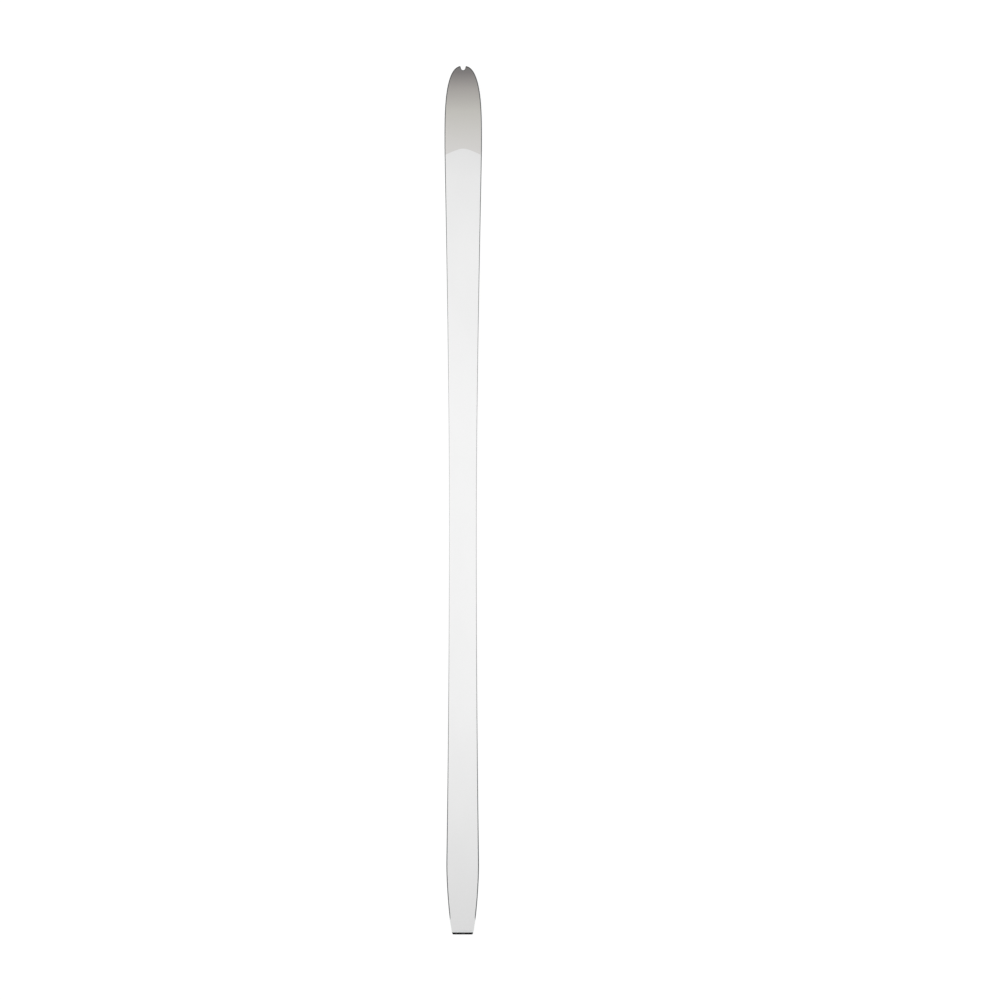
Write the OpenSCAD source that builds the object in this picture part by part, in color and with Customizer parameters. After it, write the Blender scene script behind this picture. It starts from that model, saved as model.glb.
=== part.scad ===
// Metal-edged touring cross country ski, tip towards +Y, running surface down.
// The floor is z = 0, the centre line x = 0 and the middle of the overall length y = 0.
// Millimetres throughout.

/* [Outline] */
// Overall length, measured straight from tip to tail
ski_length = 1990; // [1750:10:2050]
// Widest part of the shovel, over the steel edges
shovel_width = 86; // [84:0.2:90]
// Narrowest part, over the steel edges
waist_width = 62.4; // [60:0.2:64]
// Widest part of the tail, over the steel edges
tail_width = 75; // [74:0.2:79]
// Width of the squared tail end before its corners are rounded
tail_end_width = 47; // [44:0.2:50]
// Opening of the climbing-skin notch in the tip
notch_width = 12.6; // [11:0.1:14]
// Depth of the climbing-skin notch
notch_depth = 9.3; // [8:0.1:9.6]
// Radius of the rounded bottom of the notch
notch_radius = 5; // [4:0.1:5.2]

/* [Profile] */
// Height of the camber arch under the middle of the ski
camber = 22; // [8:1:30]
// Rise of the running surface at the tip end
tip_rise = 65; // [40:1:70]
// Rise of the running surface at the tail end
tail_rise = 6; // [2:0.5:12]
// Thickness at the binding platform
platform_thickness = 21; // [17:0.5:24]
// Thickness where the shovel meets the snow
shovel_thickness = 8.5; // [7.5:0.1:10]
// Thickness at the tip end
tip_thickness = 5.6; // [5.2:0.1:7]
// Thickness where the tail meets the snow
rear_thickness = 8; // [7.2:0.1:10]
// Thickness at the tail end
tail_thickness = 6.6; // [6.2:0.1:7.2]

/* [Layers] */
// Thickness of the sintered base sheet
base_thickness = 1.3; // [1:0.1:1.4]
// Width of the centre groove in the base
groove_width = 9; // [6:0.5:12]
// Depth of the centre groove in the base
groove_depth = 0.6; // [0.3:0.1:0.8]
// Width of the hardened steel edge that shows beside the base
edge_width = 2.2; // [1.8:0.1:2.3]
// Height of the steel edge
edge_height = 1.9; // [1.8:0.1:2.2]
// Reach of the thin anchoring flange in from the outline
flange_reach = 7; // [6:0.5:8]
// Spacing of the notches in the anchoring flange
flange_pitch = 40; // [30:5:60]
// Length of each notch in the anchoring flange
flange_notch = 14; // [8:1:16]
// Thickness of the rubber damping strips over the edge flanges
damper_thickness = 0.3; // [0.2:0.05:0.4]
// Thickness of the glass laminate under the core
lower_laminate_thickness = 0.8; // [0.6:0.05:0.9]
// Thickness of the glass laminate over the core
upper_laminate_thickness = 0.8; // [0.5:0.05:0.9]
// Thickness of the topsheet
topsheet_thickness = 0.8; // [0.5:0.05:0.9]

/* [Core] */
// Width of the plastic sidewalls
sidewall_width = 6; // [5:0.5:6.5]
// Width of one wood strip in the core
core_strip_width = 9; // [8.6:0.1:9.4]
// How far the upper layers stand in from the edge around the tip and at the tail
end_ledge = 2.2; // [1.8:0.1:2.3]
// How far the upper layers stand in from the edge at the widest line of the shovel
shovel_ledge = 1.9; // [1:0.1:2.2]
// How far the upper layers stand in from the edge at the waist
waist_ledge = 0.65; // [0.3:0.05:0.9]
// Length of the thin alloy plate that holds binding screws
plate_length = 300; // [240:10:310]
// Thickness of the binding plate
plate_thickness = 0.6; // [0.4:0.1:0.8]

/* [Ends] */
// Distance from the tip end back to the peak of the pointed tip-piece joint
joint_from_tip = 185; // [181:1:196]
// How much further back the joint lies at the sides
joint_sweep = 15; // [8:0.5:16]
// Length of the tail protector that shows at the end
protector_length = 4.6; // [3:0.1:6]
// Radius of the tail end's corners in plan
tail_corner = 2.5; // [1.5:0.1:3]
// Distance from the tail end to the rear end of the steel edges
edge_end = 32; // [30:1:60]
// Wall of the liner in the tip notch
liner_wall = 1.2; // [1:0.1:1.5]

/* [Hidden] */

tip_y = ski_length / 2;              // tip end
shovel_y = tip_y - 175;              // widest line of the shovel
waist_y = -45;                       // narrowest line
tail_wide_y = -ski_length / 2 + 160; // widest line of the tail
tail_y = -ski_length / 2;            // tail end
cap_y = tail_y + protector_length;   // joint of the tail protector
lip_y = cap_y + 4.6;                 // rear end of the topsheet
step_y = tail_y + edge_end;          // rear end of the steel edges
edge_runout = 7;                     // length over which the ledge runs out there
core_y = tail_y + 125;               // rear end of the wood core
front_contact = tip_y - 215;         // snow contact line at the shovel
rear_contact = tail_y + 110;         // snow contact line at the tail
middle_y = (front_contact + rear_contact) / 2;
flat_half = 160;                     // half length of the flat binding platform
platform_y = -52;                    // middle of the binding platform
core_z = edge_height + damper_thickness + lower_laminate_thickness;
top_skin = upper_laminate_thickness + topsheet_thickness;
damper_reach = flange_reach + 0.5;
tip_steps = 30;
tip_p = 3.25;                        // fullness of the tip along the ski
tip_q = 2.55;                        // fullness of the tip across the ski
tip_half = shovel_width / 2;
tip_long = 175 / pow(1 - pow(notch_width / shovel_width, tip_q), 1 / tip_p);

// ---- outline: [x, y] down the right side, tail end first ----
function bezier(p, t) = pow(1 - t, 3) * p[0] + 3 * t * pow(1 - t, 2) * p[1]
    + 3 * t * t * (1 - t) * p[2] + pow(t, 3) * p[3];
tail_curve = [[tail_end_width / 2, tail_y], [tail_end_width / 2 + 9.2, tail_y + 40],
    [tail_width / 2, tail_wide_y - 40], [tail_width / 2, tail_wide_y]];
rear_run = waist_y - tail_wide_y;
rear_curve = [[tail_width / 2, tail_wide_y], [tail_width / 2, tail_wide_y + 0.02 * rear_run],
    [waist_width / 2, waist_y - 0.55 * rear_run], [waist_width / 2, waist_y]];
front_run = shovel_y - waist_y;
front_curve = [[waist_width / 2, waist_y], [waist_width / 2, waist_y + 0.40 * front_run],
    [tip_half, shovel_y - 0.04 * front_run], [tip_half, shovel_y]];
side = concat([for (i = [0:11]) bezier(tail_curve, i / 12)],
    [for (i = [0:19]) bezier(rear_curve, pow(i / 20, 1.3))],
    [for (i = [0:22]) bezier(front_curve, 1 - pow(1 - i / 22, 1.3))]);
half_table = [for (p = side) [p[1], p[0]]];
function half_width(y) = lookup(y, half_table);
// The same line with points where the ledge runs out
outline = concat([for (p = side) if (p[1] < step_y - 0.01) p],
    [for (y = [step_y, step_y + edge_runout]) [half_width(y), y]],
    [for (p = side) if (p[1] > step_y + edge_runout + 0.01) p]);

// How far the upper layers stand in from the steel edge at y; nothing behind the edges' rear ends
function ledge(y) = (waist_ledge + (y > waist_y
    ? (shovel_ledge - waist_ledge) * min(1, pow((y - waist_y) / front_run, 1.6))
    : (end_ledge - waist_ledge) * min(1, pow((waist_y - y) / rear_run, 1.6))))
    * min(1, max(0, (y - step_y) / edge_runout));
// An inset k is [share of the ledge, millimetres]
function inset(k, y) = k[0] * ledge(y) + k[1];
mouth_t = acos(pow(notch_width / shovel_width, tip_q / 2));
// Around the tip the ledge grows from the shovel's to the end's over the first 30 degrees
function nose_inset(k, t) = k[0] * (shovel_ledge + (end_ledge - shovel_ledge) * min(1, t / 30)) + k[1];
function nose_point(k, t) = let (e = nose_inset(k, t))
    [(tip_half - e) * pow(cos(t), 2 / tip_q), shovel_y + (tip_long - e) * pow(sin(t), 2 / tip_p)];
function flank(k, y0) = concat([[half_width(y0) - inset(k, y0), y0]],
    [for (p = outline) if (p[1] > y0 + 0.01) [p[0] - inset(k, p[1]), p[1]]]);
function nose(k) = concat([for (i = [1:tip_steps]) nose_point(k, mouth_t * pow(i / tip_steps, 1.5))],
    [nose_point(k, (mouth_t + 90) / 2), [0, shovel_y + tip_long - nose_inset(k, 90)]]);
function rim(k, y0) = concat(flank(k, y0), nose(k));
// Behind the steel edges every layer reaches the full width
function full_tail(y0) = concat([[half_width(y0), y0]],
    [for (p = side) if (p[1] > y0 + 0.01 && p[1] < step_y - 0.01) p],
    [[half_width(step_y), step_y]]);
function stepped(k, y0) = concat(full_tail(y0), rim(k, step_y));
function reversed(a) = [for (i = [len(a) - 1:-1:0]) a[i]];
function both_sides(r) = concat(r, [for (i = [len(r) - 2:-1:0]) [-r[i][0], r[i][1]]]);
// Inner line of the anchoring flange with its row of notches
flange_count = floor((shovel_y - step_y - 50) / flange_pitch);
function flange_line() = concat([[half_width(step_y) - flange_reach, step_y]],
    [for (j = [0:flange_count - 1], q = [[0, 0], [0, 3.5], [1, 3.5], [1, 0]])
        let (y = step_y + 25 + j * flange_pitch + q[0] * flange_notch)
        [half_width(y) - flange_reach + q[1], y]],
    [[tip_half - flange_reach, shovel_y]], nose([0, flange_reach]));

// ---- side profile ----
profile_y = concat([for (i = [0:7]) tail_y - 8 + i * (118 / 8)],
    [for (i = [0:14]) rear_contact + i / 15 * (middle_y - flat_half - rear_contact)],
    [middle_y - flat_half],
    [for (i = [0:14]) middle_y + flat_half + i / 15 * (front_contact - middle_y - flat_half)],
    [for (i = [0:24]) front_contact + i * (225 / 24)]);
camber_half = front_contact - middle_y - flat_half;
function arch_u(y) = min(1, max(0, abs(y - middle_y) - flat_half) / camber_half);
function running_z(y) = y > front_contact ? tip_rise * pow((y - front_contact) / 215, 2.2)
    : y < rear_contact ? tail_rise * pow((rear_contact - y) / 110, 2)
    : camber * pow(1 - pow(arch_u(y), 2), 2);
function taper(u) = u * u * (1.9 - 0.9 * u);
function thickness(y) = y > front_contact
    ? shovel_thickness + (tip_thickness - shovel_thickness) * (y - front_contact) / 215
    : y < rear_contact
    ? rear_thickness + (tail_thickness - rear_thickness) * (rear_contact - y) / 110
    : platform_thickness + ((y > middle_y ? shovel_thickness : rear_thickness)
        - platform_thickness) * taper(arch_u(y));
// A level k is [share of the local thickness, millimetres] above the running surface
function level(k) = [for (y = profile_y) [y, running_z(y) + k[0] * thickness(y) + k[1]]];

module band(lo, hi) {
    translate([-100, 0, 0]) rotate([90, 0, 90]) linear_extrude(200)
        polygon(concat(level(lo), reversed(level(hi))));
}
module column(plan) { translate([0, 0, -30]) linear_extrude(170) polygon(plan); }
module layer(plan, lo, hi) { intersection() { column(plan); band(lo, hi); } }
function rect(x0, x1, y0, y1) = [[x0, y0], [x1, y0], [x1, y1], [x0, y1]];

// ---- the tip notch: straight flanks running into a round bottom ----
notch_c = tip_y - notch_depth + notch_radius;
notch_far = norm([notch_width / 2, tip_y - notch_c]);
notch_a = atan2(tip_y - notch_c, notch_width / 2) - acos(notch_radius / notch_far);
module notch(wall) {
    r = notch_radius + wall;
    column(concat([for (i = [0:10]) let (a = -180 - notch_a + i * (180 + 2 * notch_a) / 10)
        [r * cos(a), notch_c + r * sin(a)]],
        [[r * cos(notch_a) - 25 * sin(notch_a), notch_c + r * sin(notch_a) + 25 * cos(notch_a)],
        [-r * cos(notch_a) + 25 * sin(notch_a), notch_c + r * sin(notch_a) + 25 * cos(notch_a)]]));
}

// ---- the pointed joint between the tip piece and the rest ----
joint_y = tip_y - joint_from_tip;
joint_round = 14;                    // radius of its rounded peak
function joint_at(x) = joint_y - joint_sweep * (norm([x, joint_round]) - joint_round)
    / (norm([tip_half, joint_round]) - joint_round);
joint_line = [for (x = [-60, -30, -20, -14, -10, -7, -4.5, -2, 2, 4.5, 7, 10, 14, 20, 30, 60])
    [x, joint_at(x)]];
module behind_joint() { column(concat([[60, tail_y - 40], [-60, tail_y - 40]], joint_line)); }
module ahead_of_joint() { column(concat([[60, tip_y + 40], [-60, tip_y + 40]], joint_line)); }

// ---- running surface and steel edges ----
module base_sheet() {
    color("#26272a") difference() {
        layer(both_sides(stepped([0, edge_width], cap_y)), [0, 0], [0, base_thickness]);
        layer(rect(-groove_width / 2, groove_width / 2, rear_contact - 5, front_contact + 20),
            [0, -20], [0, groove_depth]);
        notch(liner_wall);
    }
}
// A square head beside the base and a thin flange that anchors it under the laminate
module steel_edge() {
    union() {
        difference() {
            layer(concat(rim([0, 0], step_y), reversed(rim([0, edge_width], step_y))),
                [0, 0], [0, edge_height]);
            notch(0);
        }
        difference() {
            layer(concat(rim([0, edge_width], step_y), reversed(flange_line())),
                [0, base_thickness], [0, edge_height]);
            notch(liner_wall);
        }
    }
}
module edge_left() { color("#8e9296") mirror([1, 0, 0]) steel_edge(); }
module edge_right() { color("#8e9296") steel_edge(); }
module flange_filler() {
    color("#c9c4a8") difference() {
        layer(both_sides(concat(full_tail(cap_y), flange_line())),
            [0, base_thickness], [0, edge_height]);
        notch(liner_wall);
    }
}
module damper() {
    difference() {
        layer(concat(rim([1, 0], step_y), reversed(rim([0, damper_reach], step_y))),
            [0, edge_height], [0, edge_height + damper_thickness]);
        notch(liner_wall);
    }
}
module edge_damper_left() { color("#3a3a3a") mirror([1, 0, 0]) damper(); }
module edge_damper_right() { color("#3a3a3a") damper(); }

// ---- laminates ----
module lower_laminate() {
    color("#d8d6b4") difference() {
        layer(both_sides(rim([1, 0], cap_y)), [0, edge_height], [0, core_z]);
        difference() {
            layer(rect(-90, 90, step_y, tip_y + 6), [0, -20], [0, edge_height + damper_thickness]);
            column(both_sides(rim([0, damper_reach], step_y - 20)));
        }
        notch(liner_wall);
    }
}
module upper_laminate() {
    color("#d8d6b4") difference() {
        layer(both_sides(rim([1, 0], lip_y)), [1, -top_skin], [1, -topsheet_thickness]);
        notch(liner_wall);
    }
}

// ---- core, sidewalls and end spacers ----
strip_edge = [for (i = [0:3]) core_strip_width * (i + 0.5)];
module strip_body(plan) {
    intersection() {
        column(plan);
        behind_joint();
        band([0, core_z], [1, -top_skin]);
    }
}
// Strips 1 to 7 from the left side to the right; the outer two follow the outline
module core_strip(n) {
    i = abs(n - 4);
    if (i == 3)
        mirror([n < 4 ? 1 : 0, 0, 0])
            strip_body(concat(flank([1, sidewall_width], core_y),
                [[strip_edge[2], shovel_y], [strip_edge[2], core_y]]));
    else
        mirror([n < 4 ? 1 : 0, 0, 0]) difference() {
            strip_body(rect(i == 0 ? -strip_edge[0] : strip_edge[i - 1], strip_edge[i],
                core_y, shovel_y));
            translate([-40, platform_y - plate_length / 2, plate_z]) cube([80, plate_length, 20]);
        }
}
plate_z = camber + platform_thickness - top_skin - plate_thickness;
module core_strip_1() { color("#d9b98a") core_strip(1); }
module core_strip_2() { color("#c49a63") core_strip(2); }
module core_strip_3() { color("#d9b98a") core_strip(3); }
module core_strip_4() { color("#c49a63") core_strip(4); }
module core_strip_5() { color("#d9b98a") core_strip(5); }
module core_strip_6() { color("#c49a63") core_strip(6); }
module core_strip_7() { color("#d9b98a") core_strip(7); }
module binding_plate() {
    color("#b9bdc2") translate([-strip_edge[2], platform_y - plate_length / 2, plate_z])
        cube([2 * strip_edge[2], plate_length, plate_thickness]);
}
module sidewall() {
    strip_body(concat(flank([1, 0], core_y), reversed(flank([1, sidewall_width], core_y))));
}
module sidewall_left() { color("#dcdcd8") mirror([1, 0, 0]) sidewall(); }
module sidewall_right() { color("#dcdcd8") sidewall(); }
module tip_spacer() {
    color("#9c9a96") difference() {
        intersection() {
            column(both_sides(rim([1, 0], joint_y - 60)));
            ahead_of_joint();
            band([0, core_z], [1, -top_skin]);
        }
        notch(liner_wall);
    }
}
module tongue(wide, long, low, high) {
    layer(rect(-wide, wide, cap_y - 2, cap_y + long), [0, low], [0, high]);
}
module tail_spacer() {
    color("#e9e8e4") difference() {
        intersection() {
            column(both_sides(flank([1, 0], cap_y)));
            translate([-60, cap_y - 10, -20]) cube([120, core_y - cap_y + 10, 80]);
            band([0, core_z], [1, 0]);
        }
        layer(rect(-90, 90, lip_y, core_y + 20), [1, -top_skin], [1, 20]);
        tongue(14, 12, core_z + 0.5, core_z + 1.3);
    }
}

// ---- top surface and end pieces ----
module topsheet() {
    color("#f2f2f2") intersection() {
        column(both_sides(flank([1, 0], lip_y)));
        behind_joint();
        band([1, -topsheet_thickness], [1, 0]);
    }
}
module tip_topsheet() {
    color("#b0aeaa") difference() {
        intersection() {
            column(both_sides(rim([1, 0], joint_y - 60)));
            ahead_of_joint();
            band([1, -topsheet_thickness], [1, 0]);
        }
        notch(liner_wall);
    }
}
cap_half = half_width(tail_y);
module tail_protector() {
    c = tail_corner;
    color("#1c1c1e") union() {
        layer(both_sides(concat([[0, tail_y]],
            [for (i = [0:5]) let (a = -90 + i * 16) [cap_half - c + c * cos(a), tail_y + c + c * sin(a)]],
            [[half_width(cap_y), cap_y], [0, cap_y]])), [0, 0], [1, 0]);
        intersection() {
            tongue(14, 12, core_z + 0.5, core_z + 1.3);
            translate([-30, cap_y - 1, -20]) cube([60, 40, 80]);
        }
    }
}
module notch_liner() {
    color("#2a2a2c") difference() {
        intersection() {
            column(both_sides(rim([0, edge_width], tip_y - 60)));
            notch(liner_wall);
            band([0, 0], [1, 0]);
        }
        notch(0);
    }
}

base_sheet();
edge_left();
edge_right();
flange_filler();
edge_damper_left();
edge_damper_right();
lower_laminate();
core_strip_1();
core_strip_2();
core_strip_3();
core_strip_4();
core_strip_5();
core_strip_6();
core_strip_7();
sidewall_left();
sidewall_right();
tip_spacer();
tail_spacer();
binding_plate();
upper_laminate();
topsheet();
tip_topsheet();
tail_protector();
notch_liner();
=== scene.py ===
import math
import bpy
import numpy as np
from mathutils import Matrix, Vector, geometry


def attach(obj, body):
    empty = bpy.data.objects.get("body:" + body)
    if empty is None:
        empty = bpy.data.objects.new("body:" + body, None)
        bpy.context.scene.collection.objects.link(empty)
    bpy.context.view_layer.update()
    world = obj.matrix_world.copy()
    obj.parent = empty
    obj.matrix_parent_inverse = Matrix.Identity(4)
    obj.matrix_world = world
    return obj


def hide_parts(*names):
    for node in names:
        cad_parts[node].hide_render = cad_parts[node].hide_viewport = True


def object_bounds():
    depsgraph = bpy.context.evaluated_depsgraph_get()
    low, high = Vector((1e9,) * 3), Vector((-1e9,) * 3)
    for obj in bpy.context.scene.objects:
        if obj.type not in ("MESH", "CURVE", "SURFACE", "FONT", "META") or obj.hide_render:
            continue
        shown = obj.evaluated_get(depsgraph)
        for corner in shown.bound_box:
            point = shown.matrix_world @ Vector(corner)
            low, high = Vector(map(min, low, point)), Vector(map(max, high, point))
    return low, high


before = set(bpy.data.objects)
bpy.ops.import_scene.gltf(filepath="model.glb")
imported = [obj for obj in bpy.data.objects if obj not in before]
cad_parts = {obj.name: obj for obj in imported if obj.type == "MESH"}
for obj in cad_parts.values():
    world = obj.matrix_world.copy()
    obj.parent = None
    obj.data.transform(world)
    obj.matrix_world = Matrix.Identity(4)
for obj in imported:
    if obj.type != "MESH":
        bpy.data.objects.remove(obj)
box_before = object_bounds()
MM = 0.001                       # one millimetre in metres
FLIP = np.array([-1, 1])         # mirrors plan points over the centre line

# ---------------------------------------------------------------- camera
# Straight down from high above, tips up in the picture, the ski a little left of the middle.
CAM_HEIGHT = 12.0
CAM_X, CAM_Y = 0.0851, 0.0029
CAM_TURN = 0.00074
SEEN_WIDTH = 2.2989              # metres of floor across the picture
SENSOR_WIDTH = 36.0
cam_data = bpy.data.cameras.new("camera")
cam_data.sensor_width = SENSOR_WIDTH
cam_data.lens = SENSOR_WIDTH * CAM_HEIGHT / SEEN_WIDTH
cam_data.clip_end = 100.0
cam = bpy.data.objects.new("camera", cam_data)
bpy.context.scene.collection.objects.link(cam)
cam.location = (CAM_X, CAM_Y, CAM_HEIGHT)
cam.rotation_euler = (0.0, 0.0, CAM_TURN)
bpy.context.scene.camera = cam

# ---------------------------------------------------------------- the ski's driving dimensions, in mm
# The outer box is measured from the imported model, and the rest repeats the CAD model's driving dimensions.
TAIL_Y, TIP_Y = [round(float(corner[1]) / MM, 1) for corner in box_before]
SHOVEL_W = round(2 * float(box_before[1][0]) / MM, 1)
WAIST_W, TAIL_W, TAIL_END_W = 62.4, 75.0, 47.0
SHOVEL_BACK = 175.0              # the shovel's widest place is this far behind the tip
SHOVEL_Y, WAIST_Y, TAIL_WIDE_Y = TIP_Y - SHOVEL_BACK, -45.0, TAIL_Y + 160.0
REAR_RUN, FRONT_RUN = WAIST_Y - TAIL_WIDE_Y, SHOVEL_Y - WAIST_Y
CAP_Y = TAIL_Y + 4.6             # joint of the tail protector
LIP_Y = CAP_Y + 4.6              # rear end of the top sheet
STEP_Y = TAIL_Y + 32.0           # rear end of the steel edges
RUNOUT = 7.0                     # length over which the ledge runs out there
CORE_Y = TAIL_Y + 125.0          # rear end of the wood core
TIP_P, TIP_Q = 3.25, 2.55        # fullness of the tip along and across the ski
TIP_HALF = SHOVEL_W / 2
NOTCH_W, NOTCH_D, NOTCH_R = 12.6, 9.3, 5.0
LINER = 1.2
TIP_LONG = SHOVEL_BACK / (1 - (NOTCH_W / SHOVEL_W) ** TIP_Q) ** (1 / TIP_P)
EDGE_W, EDGE_H = 2.2, 1.9
BASE_T, DAMP_T, GLASS_T = 1.3, 0.3, 0.8
CORE_Z = EDGE_H + DAMP_T + GLASS_T
SKIN_T, TOP_T = 1.6, 0.8         # top sheet with its laminate, and top sheet alone
END_LEDGE, SHOVEL_LEDGE, WAIST_LEDGE = 2.2, 1.9, 0.65
GROOVE_W, GROOVE_D = 9.0, 0.6
FLANGE_REACH, FLANGE_PITCH, FLANGE_NOTCH, FLANGE_TOOTH = 7, 40, 14, 3.5
DAMPER_REACH = 7.5
SIDEWALL_W = 6
JOINT_Y, JOINT_SWEEP, JOINT_ROUND = TIP_Y - 185, 15.0, 14.0
TONGUE_HALF, TONGUE_LONG = 14, 12
TONGUE_LOW, TONGUE_HIGH = CORE_Z + 0.5, CORE_Z + 1.3
TAIL_CORNER = 2.5

# side profile
TIP_RUN, TAIL_RUN, FLAT_HALF = 215.0, 110.0, 160.0
FRONT_C, REAR_C = TIP_Y - TIP_RUN, TAIL_Y + TAIL_RUN     # contact lines
MID_Y = (FRONT_C + REAR_C) / 2
CAMBER, TIP_RISE, TAIL_RISE = 22, 65, 6
PLATFORM_T, SHOVEL_T, TIP_T, REAR_T, TAIL_T = 21, 8.5, 5.6, 8.0, 6.6


def bezier(p, n):
    t = np.linspace(0, 1, n)[:, None]
    p = np.array(p, float)
    return (1 - t) ** 3 * p[0] + 3 * t * (1 - t) ** 2 * p[1] + 3 * t * t * (1 - t) * p[2] + t ** 3 * p[3]


# sidecut: three curves from the tail end to the shovel, and how far their handles reach
END_FLARE, END_REACH = 9.2, 40
TAIL_PULL, WAIST_PULL_REAR, WAIST_PULL_FRONT, SHOVEL_PULL = 0.02, 0.55, 0.40, 0.04
SIDE = np.vstack([
    bezier([(TAIL_END_W / 2, TAIL_Y), (TAIL_END_W / 2 + END_FLARE, TAIL_Y + END_REACH),
            (TAIL_W / 2, TAIL_WIDE_Y - END_REACH), (TAIL_W / 2, TAIL_WIDE_Y)], 160)[:-1],
    bezier([(TAIL_W / 2, TAIL_WIDE_Y), (TAIL_W / 2, TAIL_WIDE_Y + TAIL_PULL * REAR_RUN),
            (WAIST_W / 2, WAIST_Y - WAIST_PULL_REAR * REAR_RUN), (WAIST_W / 2, WAIST_Y)], 300)[:-1],
    bezier([(WAIST_W / 2, WAIST_Y), (WAIST_W / 2, WAIST_Y + WAIST_PULL_FRONT * FRONT_RUN),
            (TIP_HALF, SHOVEL_Y - SHOVEL_PULL * FRONT_RUN), (TIP_HALF, SHOVEL_Y)], 300)])


def half_width(y):
    return np.interp(y, SIDE[:, 1], SIDE[:, 0])


def ledge(y):
    """How far the upper layers stand in from the steel edge at y."""
    y = np.asarray(y, float)
    ahead = (SHOVEL_LEDGE - WAIST_LEDGE) * np.minimum(1, np.maximum(0, (y - WAIST_Y) / FRONT_RUN) ** 1.6)
    behind = (END_LEDGE - WAIST_LEDGE) * np.minimum(1, np.maximum(0, (WAIST_Y - y) / REAR_RUN) ** 1.6)
    return (WAIST_LEDGE + ahead + behind) * np.clip((y - STEP_Y) / RUNOUT, 0, 1)


def arch_share(y):
    """0 on the flat platform, 1 at the contact lines."""
    return np.clip((np.abs(y - MID_Y) - FLAT_HALF) / (FRONT_C - MID_Y - FLAT_HALF), 0, 1)


def running_z(y):
    """Height of the running surface."""
    y = np.asarray(y, float)
    tip = TIP_RISE * (np.maximum(y - FRONT_C, 0) / TIP_RUN) ** 2.2
    tail = TAIL_RISE * (np.maximum(REAR_C - y, 0) / TAIL_RUN) ** 2
    arch = CAMBER * (1 - arch_share(y) ** 2) ** 2
    return np.where(y > FRONT_C, tip, np.where(y < REAR_C, tail, arch))


def thickness(y):
    y = np.asarray(y, float)
    u = arch_share(y)
    taper = u * u * (1.9 - 0.9 * u)
    body = PLATFORM_T + (np.where(y > MID_Y, SHOVEL_T, REAR_T) - PLATFORM_T) * taper
    tip = SHOVEL_T + (TIP_T - SHOVEL_T) * (y - FRONT_C) / TIP_RUN
    tail = REAR_T + (TAIL_T - REAR_T) * (REAR_C - y) / TAIL_RUN
    return np.where(y > FRONT_C, tip, np.where(y < REAR_C, tail, body))


def level(share, up):
    """A height function: a share of the thickness, and millimetres, above the running surface."""
    return lambda y: running_z(y) + share * thickness(y) + up


# ---------------------------------------------------------------- plan paths, right side, tail to tip
# An inset k is (share of the ledge, millimetres).
def flank(k, y0, y1=SHOVEL_Y, step=7.0):
    n = max(2, int(round((y1 - y0) / step)) + 1)
    y = np.linspace(y0, y1, n)
    return np.column_stack([half_width(y) - k[0] * ledge(y) - k[1], y])


def nose(k, n=84):
    deg = 90 * (np.arange(1, n + 1) / n) ** 1.5
    e = k[0] * (SHOVEL_LEDGE + (END_LEDGE - SHOVEL_LEDGE) * np.minimum(1, deg / 30)) + k[1]
    t = np.radians(deg)
    x = (TIP_HALF - e) * np.maximum(np.cos(t), 0) ** (2 / TIP_Q)
    x[-1] = 0
    return np.column_stack([x, SHOVEL_Y + (TIP_LONG - e) * np.sin(t) ** (2 / TIP_P)])


def rim(k, y0):
    return np.vstack([flank(k, y0), nose(k)])


def stepped(k, y0):
    """The full width behind the steel edges, then the rim inset by k."""
    return np.vstack([flank([0, 0], y0, STEP_Y, 4.0), rim(k, STEP_Y)])


NOTCH_C = TIP_Y - NOTCH_D + NOTCH_R
NOTCH_FAR = math.hypot(NOTCH_W / 2, TIP_Y - NOTCH_C)
NOTCH_A = math.atan2(TIP_Y - NOTCH_C, NOTCH_W / 2) - math.acos(NOTCH_R / NOTCH_FAR)


def outside_notch(p, wall):
    """How far p is outside the notch wall's straight flank: negative inside the notch."""
    return p[0] * math.cos(NOTCH_A) + (p[1] - NOTCH_C) * math.sin(NOTCH_A) - NOTCH_R - wall


def notch_arc(wall, n=12):
    a = np.linspace(NOTCH_A, -math.pi / 2, n)
    r = NOTCH_R + wall
    return np.column_stack([r * np.cos(a), NOTCH_C + r * np.sin(a)])


def to_notch(path, wall, arc=True):
    """The path up to where it meets the notch, then down the notch wall to the centre line."""
    out = [path[0]]
    for a, b in zip(path[:-1], path[1:]):
        da, db = outside_notch(a, wall), outside_notch(b, wall)
        if a[1] > TIP_Y - 40 and da > 0 >= db:
            out.append(a + (b - a) * (da / (da - db)))
            break
        out.append(b)
    out = np.array(out)
    return np.vstack([out, notch_arc(wall)]) if arc else out


def joint_at(x):
    """The pointed joint between the two top sheets."""
    reach = math.hypot(TIP_HALF, JOINT_ROUND) - JOINT_ROUND
    return JOINT_Y - JOINT_SWEEP * (np.hypot(x, JOINT_ROUND) - JOINT_ROUND) / reach


def joint_cross(k):
    """Where the flank inset k meets the joint."""
    y = JOINT_Y
    for _ in range(30):
        y = float(joint_at(half_width(y) - k[0] * ledge(y) - k[1]))
    return y


def joint_line(x0, x1, n):
    x = np.linspace(x0, x1, n)
    return np.column_stack([x, joint_at(x)])


# ---------------------------------------------------------------- closed plan loops
def mirrored(path):
    """A counter-clockwise loop from a right-hand path that ends on the centre line or beside it."""
    left = path[::-1] * FLIP
    if abs(path[-1][0]) < 1e-6:
        left = left[1:]
    if abs(path[0][0]) < 1e-6:
        left = left[:-1]
    return np.vstack([path, left])


def flipped(loop):
    """The loop on the other side of the centre line, still counter-clockwise."""
    return (np.asarray(loop) * FLIP)[::-1]


def band_loop(k_out, k_in, wall=LINER):
    """The strip between two insets, from the rear end of the steel edges to the notch."""
    out = to_notch(rim(k_out, STEP_Y), wall, False)
    inner = to_notch(rim(k_in, STEP_Y), wall, False)
    return np.vstack([out, inner[::-1]])


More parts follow.
